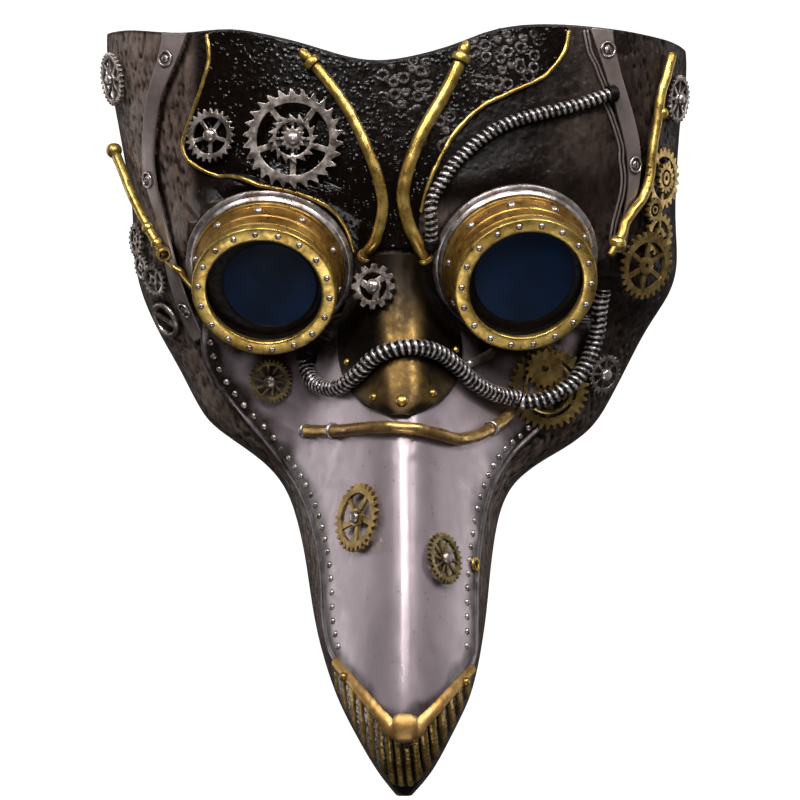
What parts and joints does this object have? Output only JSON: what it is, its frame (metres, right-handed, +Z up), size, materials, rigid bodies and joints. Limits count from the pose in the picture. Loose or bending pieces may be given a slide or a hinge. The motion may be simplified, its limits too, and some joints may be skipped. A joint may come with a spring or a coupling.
{
  "type": "plague doctor mask",
  "caption": "Hollow wearable half-face mask with a long hooked beak, tilted round goggles, brass pipes, ribbed hoses and toothed wheels that turn on pins.",
  "frame": {"origin": "midway between the eyes, on the plane of the temple rims, where the wearer's face sits", "axes": "+Z up, -Y the way the face looks, +X to a viewer's right"},
  "size_m": [0.2017, 0.1088, 0.2595],
  "materials": {
    "shell": "hammered dark bronze-brown finish, satin, with dark pits",
    "black_panel": "glossy black, pebbled and blistered",
    "grey_strap": "smooth warm grey, satin",
    "gilt": "aged gilt brass, dark in the recesses",
    "old_brass": "dark antique brass",
    "copper_brass": "copper-toned brass, worn",
    "pewter": "pewter, bright on the high spots",
    "beak_silver": "satin silver with smoky dark edges",
    "silver_wheel": "cast pewter, dark in the recesses",
    "brass_wheel": "cast brass, dark in the recesses",
    "antique_wheel": "dull antique brass",
    "hose": "black ribbed hose with silvered ridges",
    "black_trim": "black",
    "lens": "near-black blue, glossy"
  },
  "bodies": {
    "mask": {"face_shell": "shell", "forehead_panel": "black_panel", "left_gold_wire": "gilt", "right_gold_wire": "gilt", "left_brow_pipe": "gilt", "right_brow_pipe": "gilt", "brow_pipe_fittings": "gilt", "left_temple_strap": "grey_strap", "right_temple_strap": "grey_strap", "strap_screws": "pewter", "left_temple_pipe": "gilt", "right_temple_pipe": "gilt", "temple_pipe_knobs": "gilt", "left_eye_socket": "black_trim", "left_base_ring": "pewter", "left_barrel": "gilt", "left_bezel": "gilt", "left_lens": "lens", "left_lens_keeper": "old_brass", "left_goggle_rivets": "pewter", "right_eye_socket": "black_trim", "right_base_ring": "pewter", "right_barrel": "gilt", "right_bezel": "gilt", "right_lens": "lens", "right_lens_keeper": "old_brass", "right_goggle_rivets": "pewter", "nose_plate": "old_brass", "nose_rivets": "gilt", "upper_hose": "hose", "lower_hose": "hose", "hose_ferrules": "black_trim", "hose_clamp": "black_trim", "cheek_bar": "pewter", "beak_plate": "beak_silver", "left_beak_rivets": "pewter", "right_beak_rivets": "pewter", "mouth_pipe": "copper_brass", "mouth_pipe_rings": "pewter", "beak_lip": "gilt", "lip_rivets": "gilt", "jaw_grille": "gilt", "right_temple_train": "brass_wheel", "left_temple_train": "silver_wheel", "right_cheek_gear": "brass_wheel", "beak_eyelet": "gilt", "wheel_pins": "pewter", "tie_lugs": "black_trim", "hanger_tab": "black_trim"},
    "forehead_small_wheel": {"forehead_small_wheel": "silver_wheel"},
    "forehead_large_wheel": {"forehead_large_wheel": "silver_wheel", "forehead_ratchet": "silver_wheel", "forehead_pinion": "silver_wheel"},
    "nose_wheel": {"nose_wheel": "silver_wheel"},
    "left_cheek_wheel": {"left_cheek_wheel": "antique_wheel"},
    "right_cheek_wheel": {"right_cheek_wheel": "silver_wheel"},
    "left_beak_wheel": {"left_beak_wheel": "brass_wheel"},
    "right_beak_wheel": {"right_beak_wheel": "antique_wheel"},
    "left_temple_wheel": {"left_temple_wheel": "silver_wheel"},
    "right_temple_wheel": {"right_temple_wheel": "silver_wheel"}
  },
  "joints": [
    {"name": "forehead_small_spin", "type": "hinge", "parent": "mask", "child": "forehead_small_wheel", "pos_m": [-0.06294, -0.04864, 0.05011], "axis": [-0.3988, -0.916, 0.0435], "continuous": true},
    {"name": "forehead_large_spin", "type": "hinge", "parent": "mask", "child": "forehead_large_wheel", "pos_m": [-0.03528, -0.05927, 0.04866], "axis": [-0.0133, -0.9999, 0.0098], "continuous": true},
    {"name": "nose_spin", "type": "hinge", "parent": "mask", "child": "nose_wheel", "pos_m": [-0.00793, -0.06023, -0.00105], "axis": [-0.3267, -0.9405, 0.093], "continuous": true},
    {"name": "left_cheek_spin", "type": "hinge", "parent": "mask", "child": "left_cheek_wheel", "pos_m": [-0.0431, -0.03139, -0.03262], "axis": [-0.1878, -0.9772, -0.0996], "continuous": true},
    {"name": "right_cheek_spin", "type": "hinge", "parent": "mask", "child": "right_cheek_wheel", "pos_m": [0.06982, -0.02068, -0.0301], "axis": [0.6102, -0.7512, -0.2515], "continuous": true},
    {"name": "left_beak_spin", "type": "hinge", "parent": "mask", "child": "left_beak_wheel", "pos_m": [-0.01307, -0.07551, -0.07851], "axis": [-0.7968, -0.5832, 0.1582], "continuous": true},
    {"name": "right_beak_spin", "type": "hinge", "parent": "mask", "child": "right_beak_wheel", "pos_m": [0.015, -0.0829, -0.09204], "axis": [0.7746, -0.606, 0.1811], "continuous": true},
    {"name": "left_temple_spin", "type": "hinge", "parent": "mask", "child": "left_temple_wheel", "pos_m": [-0.09675, -0.01725, 0.07029], "axis": [-0.9084, -0.3974, -0.1296], "continuous": true},
    {"name": "right_temple_spin", "type": "hinge", "parent": "mask", "child": "right_temple_wheel", "pos_m": [0.09484, -0.01946, 0.06345], "axis": [0.897, -0.4326, -0.0904], "continuous": true}
  ]
}
